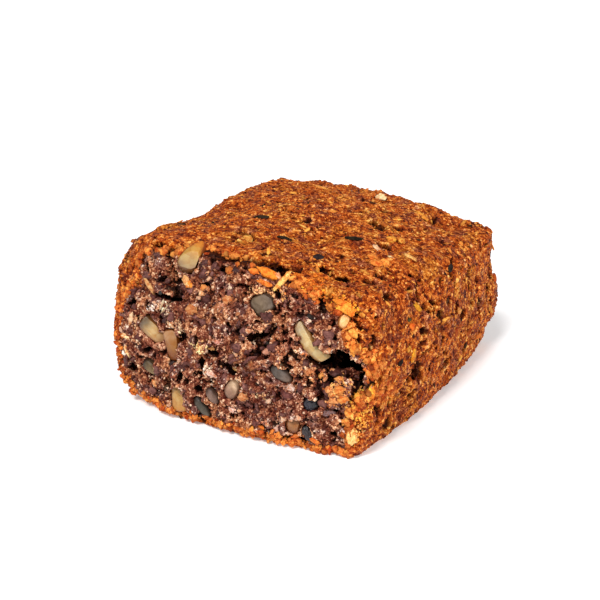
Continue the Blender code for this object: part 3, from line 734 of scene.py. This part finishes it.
def add_grains(mesh, finishes):
    """Grains of crust and crumb over the loaf, chunks in the crumb, and crumbs along the edge of the cut."""
    draw = np.random.default_rng(404)
    shapes = lump_shapes(6, 1, 0.5, draw)
    torn, painted_shade, into_cut, raised = masks_of(mesh, "torn", "painted_shade", "into_cut", "high")
    points, normals = points_of(mesh), normals_of(mesh)
    x, y, z = (points / MM).T
    off_pieces = piece_distance(points)
    clear = smoothstep(0.5, 1.2, z) * smoothstep(0.05, 0.5, off_pieces)
    # Grains are kept out of the painted shade in hollows, so that it stays dark.
    crust, crumb = (1 - torn) * (1 - 0.9 * painted_shade) * clear, torn * (1 - 0.92 * painted_shade) * clear
    up, right = smoothstep(0.35, 0.75, normals[:, 2]), x > 20
    patches = smoothstep(-0.15, 0.35, waves(points, 5.0 * MM, 31.0)) + 0.15
    weights = (crust * up, crust * (1 - up) * right, crust * (1 - up) * ~right, crumb, crumb * patches)
    for (name, (measures, tone)), weight in zip(GRAINS.items(), weights):
        places, bases, sizes, nearest = laid_by_chance(mesh, weight, draw, *measures)
        # Grains on raised spots get a lighter tone, as painted light.
        tones = np.clip(tone + 0.2 * draw.normal(0, 1, len(places)) + 0.15 * raised[nearest], 0, 1)
        finish = finishes[name[:5]]  # each name begins with crust or crumb
        joined(name, shapes, places, bases, sizes, finish, tones=tones)

    chunks = lump_shapes(6, 2, 0.9, draw)
    free = smoothstep(0.9, 1.8, off_pieces) * (into_cut > 0.8)
    strew("crumb_chunks", chunks, mesh, crumb * free, draw, finishes["chunk"])
    strew("crumb_specks", chunks, mesh, crumb, draw, finishes["bit"])
    # Edge crumbs are kept out of the painted shade too.
    edge = np.exp(-((into_cut + 0.4) / 0.9) ** 2) * clear * (1 - painted_shade) * (y < -25)
    left_end, right_end, front = LEDGE_GAP
    edge = edge * ~((x > left_end) & (x < right_end) & (y > front))
    lip = (z > 36) | (x > 30)
    strew("lip_crumbs", chunks, mesh, edge * lip, draw, finishes["bit"])
    strew("edge_crumbs", chunks, mesh, edge * ~lip, draw, finishes["bit"])


def add_fluffs(tree, draw, finish):
    """Pale crumbs in loose clusters, finer and closer towards the middle of each."""
    foot, roof, mouth = CAVE
    rows = []
    for face, first, second, long, wide, turn, number, colour in each_row(FLUFFS):
        count = round(FLUFF_SHARE * number)
        angle = math.radians(turn)
        offsets = draw.normal(0, 0.5, (2, count))
        for along, across, size in zip(*offsets, 0.25 + 0.6 * draw.random(count) ** 2):
            x = first + along * long * math.cos(angle) - across * wide * math.sin(angle)
            z = second + along * long * math.sin(angle) + across * wide * math.cos(angle)
            shade = 1 + 0.12 * draw.normal()
            if face == "cut" and foot < z < roof and spot(tree, face, x, z)[0][1] > mouth * MM:
                continue  # too deep in the cave
            long_side, turned = size * draw.uniform(1, 1.8), draw.uniform(0, 180)
            tint = np.clip(np.array(colour) * shade, 0, 255)
            rows.append((face, x, z, long_side, size, 0.6 * size, turned, tint))
    join_by_hand("pale_crumbs", lump_shapes(6, 1, 0.6, draw), tree, rows, 0.25, finish)


def add_bits(mesh, tree, finishes):
    """Flakes, kernels and single bits: the chosen ones, and smaller ones by chance."""
    draw = np.random.default_rng(909)
    torn, painted_shade, into_cut = masks_of(mesh, "torn", "painted_shade", "into_cut")
    # Flakes and kernels are kept mostly out of the painted shade in hollows.
    clear = smoothstep(0.8, 2.0, points_of(mesh)[:, 2] / MM) * (1 - torn) * (1 - 0.8 * painted_shade)
    bent, plain = lump_shapes(7, 3, 0.5, draw, 0.25), lump_shapes(4, 3, 0.2, draw)
    join_by_hand("placed_bits", bent, tree, each_row(BITS), 0.35, finishes["bit"])
    join_by_hand("placed_kernels", plain, tree, each_row(KERNELS), 0.45, finishes["kernel"])
    add_fluffs(tree, draw, finishes["bit"])
    thin = lump_shapes(6, 2, 0.4, draw, 0.3)
    strew("flakes", thin, mesh, clear, draw, finishes["bit"])
    strew("kernels", thin, mesh, clear * (into_cut < FAR_FROM_CUT), draw, finishes["kernel"])


def flattened(points, planes):
    """The points with those beyond some planes pulled back onto them."""
    for *away, depth in planes:
        away = np.array(away) / np.linalg.norm(away)
        along = points @ away
        points = points - np.maximum(along - along.max() + depth * MM, 0)[:, None] * away
    return points


def dressed_piece(name, kind, tints, planes, finish, rays):
    """A nut, seed or raisin with an even skin in place of its CAD node."""
    mesh = remeshed(merged_copy(name), PIECE_VOXEL, name + "_skin")
    with edited(mesh) as bm:
        smoothed(bm, bm.verts, 3)
    points, normals = points_of(mesh), normals_of(mesh)
    if kind == "raisin":
        lift = -0.35 * (1 - np.abs(waves(points, 1.4 * MM, 3.0)) * 4).clip(0, 1)
    elif kind == "seed":
        lift = 0.10 * waves(points, 1.6 * MM, 8.0)
    else:
        lift = 0.05 * waves(points, 1.2 * MM, 8.0)
    points = flattened(points + normals * (lift * MM)[:, None], planes)
    move_points(mesh, points)
    middle = points.mean(axis=0)
    spread = np.linalg.svd((points - middle)[::7], full_matrices=False)[2][0]
    spread *= np.sign(spread[2]) if abs(spread[2]) > 0.4 else np.sign(spread[0])
    share = (points - middle) @ spread
    share = (share - share.min()) / (share.max() - share.min())
    share = np.clip(share + 0.12 * waves(points, 2.0 * MM, 5.0), 0, 1)
    stops = linear(tints)
    tint = np.stack([np.interp(share, (0.05, 0.5, 0.95), stops[:, i]) for i in range(3)], axis=1)
    out = np.array([rays.find_nearest(Vector(p))[3] for p in points]) / MM
    facing = smoothstep(0.45, 0.98, normals_of(mesh) @ np.array(planes[0][:3]))
    shade = facing * (0.5 + 0.5 * smoothstep(0.0, 0.6, out))
    add_tint(mesh, tint * (shade[:, None] + (1 - shade[:, None]) * PIECE_EDGES[kind]))
    finish_piece(new_object(name + "_skin", mesh), finish, [name])


# Materials


def ramp(tree, fac, stops):
    """A colour ramp through the stops, each a position and a colour of 0 to 255."""
    made = tree.nodes.new("ShaderNodeValToRGB")
    elements = made.color_ramp.elements
    while len(elements) < len(stops):
        elements.new(0.5)
    for element, (position, colour) in zip(elements, stops):
        element.position = position
        element.color = (*linear(colour), 1.0)
    tree.links.new(fac, made.inputs["Fac"])
    return made.outputs["Color"]


def fed(tree, socket, value):
    """Link or set a socket."""
    if hasattr(value, "is_output"):
        tree.links.new(value, socket)
    else:
        socket.default_value = value


def mixed(tree, fac, a, b, blend="MIX"):
    """A colour mix; fac, a and b are sockets or values."""
    made = tree.nodes.new("ShaderNodeMix")
    made.data_type = "RGBA"
    made.blend_type = blend
    for number, value in ((0, fac), (6, a), (7, b)):
        fed(tree, made.inputs[number], value)
    return made.outputs[2]


def maths(tree, operation, a, b, c=0.5):
    """A math node; a, b and c are sockets or values."""
    made = tree.nodes.new("ShaderNodeMath")
    made.operation = operation
    for socket, value in zip(made.inputs, (a, b, c)):
        fed(tree, socket, value)
    return made.outputs["Value"]


def between(tree, value, low, high):
    """0 below low, 1 above high."""
    made = tree.nodes.new("ShaderNodeMapRange")
    fed(tree, made.inputs["Value"], value)
    made.inputs["From Min"].default_value = low
    made.inputs["From Max"].default_value = high
    return made.outputs["Result"]


def attribute(tree, name, output="Fac"):
    """A mesh attribute."""
    made = tree.nodes.new("ShaderNodeAttribute")
    made.attribute_name = name
    return made.outputs[output]


def noise_value(tree, coordinates, scale, detail=3.0, rough=0.6):
    """Noise, about 0.3 to 0.7."""
    made = tree.nodes.new("ShaderNodeTexNoise")
    made.inputs["Scale"].default_value = scale
    made.inputs["Detail"].default_value = detail
    made.inputs["Roughness"].default_value = rough
    tree.links.new(coordinates, made.inputs["Vector"])
    return made.outputs["Fac"]


def new_group(name, inputs, outputs):
    """A shader node group with its sockets, and its object coordinates."""
    group = bpy.data.node_groups.new(name, "ShaderNodeTree")
    for label in inputs:
        group.interface.new_socket(name=label, socket_type="NodeSocketFloat", in_out="INPUT")
    for label, kind in outputs:
        group.interface.new_socket(name=label, socket_type=kind, in_out="OUTPUT")
    place = group.nodes.new("ShaderNodeTexCoord").outputs["Object"]
    return group, group.nodes.new("NodeGroupInput"), group.nodes.new("NodeGroupOutput"), place


def grain_group():
    """Shared effect: grains of baked dough. Gives a spread-out tone and a height."""
    outputs = (("Tone", "NodeSocketFloat"), ("Height", "NodeSocketFloat"))
    group, put_in, put_out, place = new_group("fine_grain", ["Scale"], outputs)
    scaled = group.nodes.new("ShaderNodeVectorMath")
    scaled.operation = "SCALE"
    group.links.new(place, scaled.inputs[0])
    group.links.new(put_in.outputs["Scale"], scaled.inputs["Scale"])
    cells = group.nodes.new("ShaderNodeTexVoronoi")
    cells.inputs["Scale"].default_value = GRAIN_CELLS
    group.links.new(scaled.outputs[0], cells.inputs["Vector"])
    parts = group.nodes.new("ShaderNodeSeparateColor")
    group.links.new(cells.outputs["Color"], parts.inputs["Color"])
    broad = noise_value(group, scaled.outputs[0], GRAIN_BROAD, 4.0, 0.7)
    small = noise_value(group, scaled.outputs[0], GRAIN_SMALL, 3.0, 0.7)
    noises = maths(group, "MULTIPLY_ADD", small, 1.8, maths(group, "MULTIPLY", broad, 1.4))
    tone = maths(group, "MULTIPLY_ADD", parts.outputs["Red"], 0.6, maths(group, "SUBTRACT", noises, 1.4))
    group.links.new(tone, put_out.inputs["Tone"])
    height = maths(group, "SUBTRACT", small, maths(group, "MULTIPLY", cells.outputs["Distance"], 0.6))
    group.links.new(height, put_out.inputs["Height"])
    return group


def patch_group(name, main, other, third):
    """Shared effect: the colour that baked dough has at a tone, in patches of three ramps."""
    group, put_in, put_out, place = new_group(name, ["Tone"], [("Color", "NodeSocketColor")])
    tone = put_in.outputs["Tone"]
    first = between(group, noise_value(group, place, PATCHES[0], 4.0), 0.49, 0.60)
    second = between(group, noise_value(group, place, PATCHES[1]), 0.51, 0.61)
    both = mixed(group, first, ramp(group, tone, main), ramp(group, tone, other))
    all_three = mixed(group, second, both, ramp(group, tone, third))
    group.links.new(all_three, put_out.inputs["Color"])
    return group


def material(name, values):
    """A Principled material with some sockets set: the material, its tree and its shader."""
    made = bpy.data.materials.new(name)
    made.use_nodes = True
    shader = made.node_tree.nodes["Principled BSDF"]
    for socket, value in values.items():
        shader.inputs[socket].default_value = value
    return made, made.node_tree, shader


def placed(tree, group, **values):
    """A copy of a shared group in a material."""
    made = tree.nodes.new("ShaderNodeGroup")
    made.node_tree = group
    for name, value in values.items():
        fed(tree, made.inputs[name], value)
    return made


def bump(tree, shader, height, strength, distance):
    """A bump on the shader."""
    made = tree.nodes.new("ShaderNodeBump")
    made.inputs["Strength"].default_value = strength
    made.inputs["Distance"].default_value = distance
    tree.links.new(height, made.inputs["Height"])
    tree.links.new(made.outputs["Normal"], shader.inputs["Normal"])


# Colours of baked dough by its tone, from 0 to 1
CRUST_RED = (
    (0, (44, 5, 1)), (0.25, (110, 32, 4)), (0.5, (162, 68, 17)),
    (0.75, (208, 108, 36)), (1, (248, 178, 92)),
)
CRUST_GOLD = (
    (0, (52, 10, 1)), (0.25, (118, 44, 6)), (0.5, (172, 88, 24)),
    (0.75, (214, 130, 46)), (1, (250, 194, 104)),
)
# Plum-brown patches of the crust: partly its own colour, partly a painted cool sheen.
CRUST_PLUM_AND_PAINTED_SHEEN = (
    (0, (38, 5, 2)), (0.3, (96, 32, 14)), (0.6, (138, 66, 38)),
    (0.85, (190, 106, 60)), (1, (236, 172, 114)),
)
CRUST_LIP = (
    (0, (70, 14, 2)), (0.25, (156, 54, 6)), (0.5, (212, 94, 16)),
    (0.75, (242, 136, 36)), (1, (255, 200, 104)),
)
CRUMB_PLUM = (
    (0, (34, 5, 1)), (0.3, (90, 34, 20)), (0.55, (126, 64, 44)),
    (0.8, (176, 114, 84)), (1, (232, 184, 148)),
)
CRUMB_TAN = (
    (0, (44, 11, 3)), (0.3, (112, 53, 30)), (0.55, (162, 96, 62)),
    (0.8, (216, 152, 106)), (1, (248, 212, 172)),
)
CRUMB_GREY = (
    (0, (28, 6, 3)), (0.35, (84, 40, 32)), (0.65, (124, 80, 70)),
    (0.9, (180, 138, 120)), (1, (240, 216, 196)),
)


def painted_shade_in_hollows(tree, colour, amount, baked, torn):
    """Painted shade: the colour turned dark in hollows and creases, one dark for the crust, another for the
    crumb.
    """
    dark = mixed(tree, attribute(tree, "torn"), (*linear(baked), 1.0), (*linear(torn), 1.0))
    return mixed(tree, maths(tree, "MULTIPLY", attribute(tree, "painted_shade"), amount), colour, dark)


def skin_material(grain, crust_colour, crumb_colour):
    """Crust and torn crumb of the loaf by the torn mask, orange at the lip, with painted shade in hollows and
    creases.
    """
    made, tree, shader = material("crust_and_crumb", {"Specular IOR Level": 0.06})
    fine = placed(tree, grain, Scale=1.0)
    # Painted light and shade: the high mask lightens raised spots and darkens sunk ones.
    tone = maths(tree, "MULTIPLY_ADD", attribute(tree, "high"), 0.22, fine.outputs["Tone"])
    crust = placed(tree, crust_colour, Tone=tone).outputs["Color"]
    crumb = placed(tree, crumb_colour, Tone=tone).outputs["Color"]
    place = tree.nodes.new("ShaderNodeTexCoord").outputs["Object"]
    uneven = between(tree, noise_value(tree, place, LIP_PATCHES), 0.36, 0.62)
    near_lip = maths(tree, "MULTIPLY", between(tree, attribute(tree, "into_cut"), -3.6, -0.6), uneven)
    crust = mixed(tree, near_lip, crust, ramp(tree, tone, CRUST_LIP))
    both = mixed(tree, attribute(tree, "torn"), crust, crumb)
    # Painted shade: near-black crust and crumb colours in hollows and creases.
    tree.links.new(painted_shade_in_hollows(tree, both, 0.9, (34, 8, 2), (18, 5, 3)), shader.inputs["Base Color"])
    tree.links.new(between(tree, tone, -0.6, 1.4), shader.inputs["Roughness"])
    bump(tree, shader, fine.outputs["Height"], 0.9, 0.45 * MM)
    return made


def grain_material(name, grain, colours):
    """Loose grains: each has its own tone, with fine grain on top."""
    made, tree, shader = material(name, {"Roughness": 0.6, "Specular IOR Level": 0.12})
    fine = placed(tree, grain, Scale=1.4)
    own = maths(tree, "SUBTRACT", attribute(tree, "tone"), 0.15)
    tone = maths(tree, "MULTIPLY_ADD", fine.outputs["Tone"], 0.3, own)
    tree.links.new(placed(tree, colours, Tone=tone).outputs["Color"], shader.inputs["Base Color"])
    bump(tree, shader, fine.outputs["Height"], 0.6, 0.25 * MM)
    return made


def tinted_material(name, grain, scale, low, roughness, specular, depth, through=0.0):
    """A piece in its own tint, multiplied by low where the grain is dark."""
    made, tree, shader = material(name, {
        "Roughness": roughness, "Specular IOR Level": specular, "Subsurface Weight": through,
        "Subsurface Radius": (1.0, 0.7, 0.4), "Subsurface Scale": 1.0 * MM,
    })
    fine = placed(tree, grain, Scale=scale)
    shade = ramp(tree, fine.outputs["Tone"], ((0.1, low), (0.8, (255, 255, 255))))
    colour = mixed(tree, 1.0, attribute(tree, "tint", "Color"), shade, "MULTIPLY")
    tree.links.new(colour, shader.inputs["Base Color"])
    bump(tree, shader, fine.outputs["Height"], 0.5, depth * MM)
    return made


def studio():
    """Pale floor, soft even light and the camera."""
    mesh = bpy.data.meshes.new("floor")
    with edited(mesh) as bm:
        bmesh.ops.create_grid(bm, x_segments=1, y_segments=1, size=4.0)
    floor = new_object("floor", mesh, smooth=False)
    floor.data.materials.append(material("pale_floor", {
        "Base Color": (0.93, 0.93, 0.93, 1.0), "Roughness": 1.0, "Specular IOR Level": 0.0,
        "Emission Color": (1.0, 1.0, 1.0, 1.0), "Emission Strength": 0.2,
    })[0])

    world = bpy.data.worlds.new("soft_white")
    bpy.context.scene.world = world
    world.use_nodes = True
    sky = world.node_tree.nodes["Background"].inputs
    sky["Color"].default_value = (1.0, 1.0, 1.0, 1.0)
    sky["Strength"].default_value = SKY
    for name, toward, strength, width in SUNS:
        lamp = bpy.data.lights.new(name, "SUN")
        lamp.energy = strength
        lamp.angle = math.radians(width)
        holder = new_object(name, lamp, smooth=False)
        holder.rotation_euler = Vector(toward).to_track_quat("Z", "Y").to_euler()

    a, e = math.radians(CAMERA_AZIMUTH), math.radians(CAMERA_ELEVATION)
    back = Vector((math.sin(a) * math.cos(e), -math.cos(a) * math.cos(e), math.sin(e)))
    view = bpy.data.cameras.new("camera")
    view.lens = CAMERA_LENS
    view.sensor_width = 36.0
    view.clip_start = 0.01
    camera = new_object("camera", view, smooth=False)
    camera.location = CAMERA_TARGET + back * CAMERA_DISTANCE
    camera.rotation_euler = (-back).to_track_quat("-Z", "Y").to_euler()
    bpy.context.scene.camera = camera
    bpy.context.scene.view_settings.view_transform = "Standard"


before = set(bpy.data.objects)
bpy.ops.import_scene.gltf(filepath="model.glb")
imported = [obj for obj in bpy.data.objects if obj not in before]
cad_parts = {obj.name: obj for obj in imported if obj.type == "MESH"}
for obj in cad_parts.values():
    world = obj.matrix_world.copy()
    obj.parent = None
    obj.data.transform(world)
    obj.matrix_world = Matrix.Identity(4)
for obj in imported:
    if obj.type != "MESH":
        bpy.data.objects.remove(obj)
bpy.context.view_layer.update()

grain = grain_group()
# The crust's third ramp, in plum patches, is partly a painted sheen.
crust_colour = patch_group("crust_colour", CRUST_RED, CRUST_GOLD, CRUST_PLUM_AND_PAINTED_SHEEN)
crumb_colour = patch_group("crumb_colour", CRUMB_PLUM, CRUMB_TAN, CRUMB_GREY)
finishes = {
    "crust": grain_material("crust_grain", grain, crust_colour),
    "crumb": grain_material("crumb_grain", grain, crumb_colour),
    "chunk": tinted_material("crumb_chunk", grain, 1.2, (150, 116, 108), 0.55, 0.25, 0.25),
    "bit": tinted_material("baked_bit", grain, 1.2, (212, 154, 116), 0.7, 0.15, 0.25),
    "kernel": tinted_material("dark_kernel", grain, 0.7, (150, 130, 120), 0.7, 0.06, 0.1),
    "nut": tinted_material("cut_nut", grain, 0.4, (236, 212, 176), 0.35, 0.4, 0.03, 0.2),
    "seed": tinted_material("seed_kernel", grain, 0.5, (204, 196, 186), 0.5, 0.3, 0.05),
    "raisin": tinted_material("raisin_skin", grain, 0.8, (160, 160, 160), 0.4, 0.5, 0.15),
}

skin = loaf_skin()
skin_rays = caster(skin)
part_skin(skin, skin_material(grain, crust_colour, crumb_colour))
add_grains(skin, finishes)
add_bits(skin, skin_rays, finishes)
for kind, pieces in PIECES.items():
    for name, (tints, planes) in pieces.items():
        dressed_piece(name, kind, tints, planes, finishes[kind], skin_rays)
bpy.data.meshes.remove(skin)
studio()
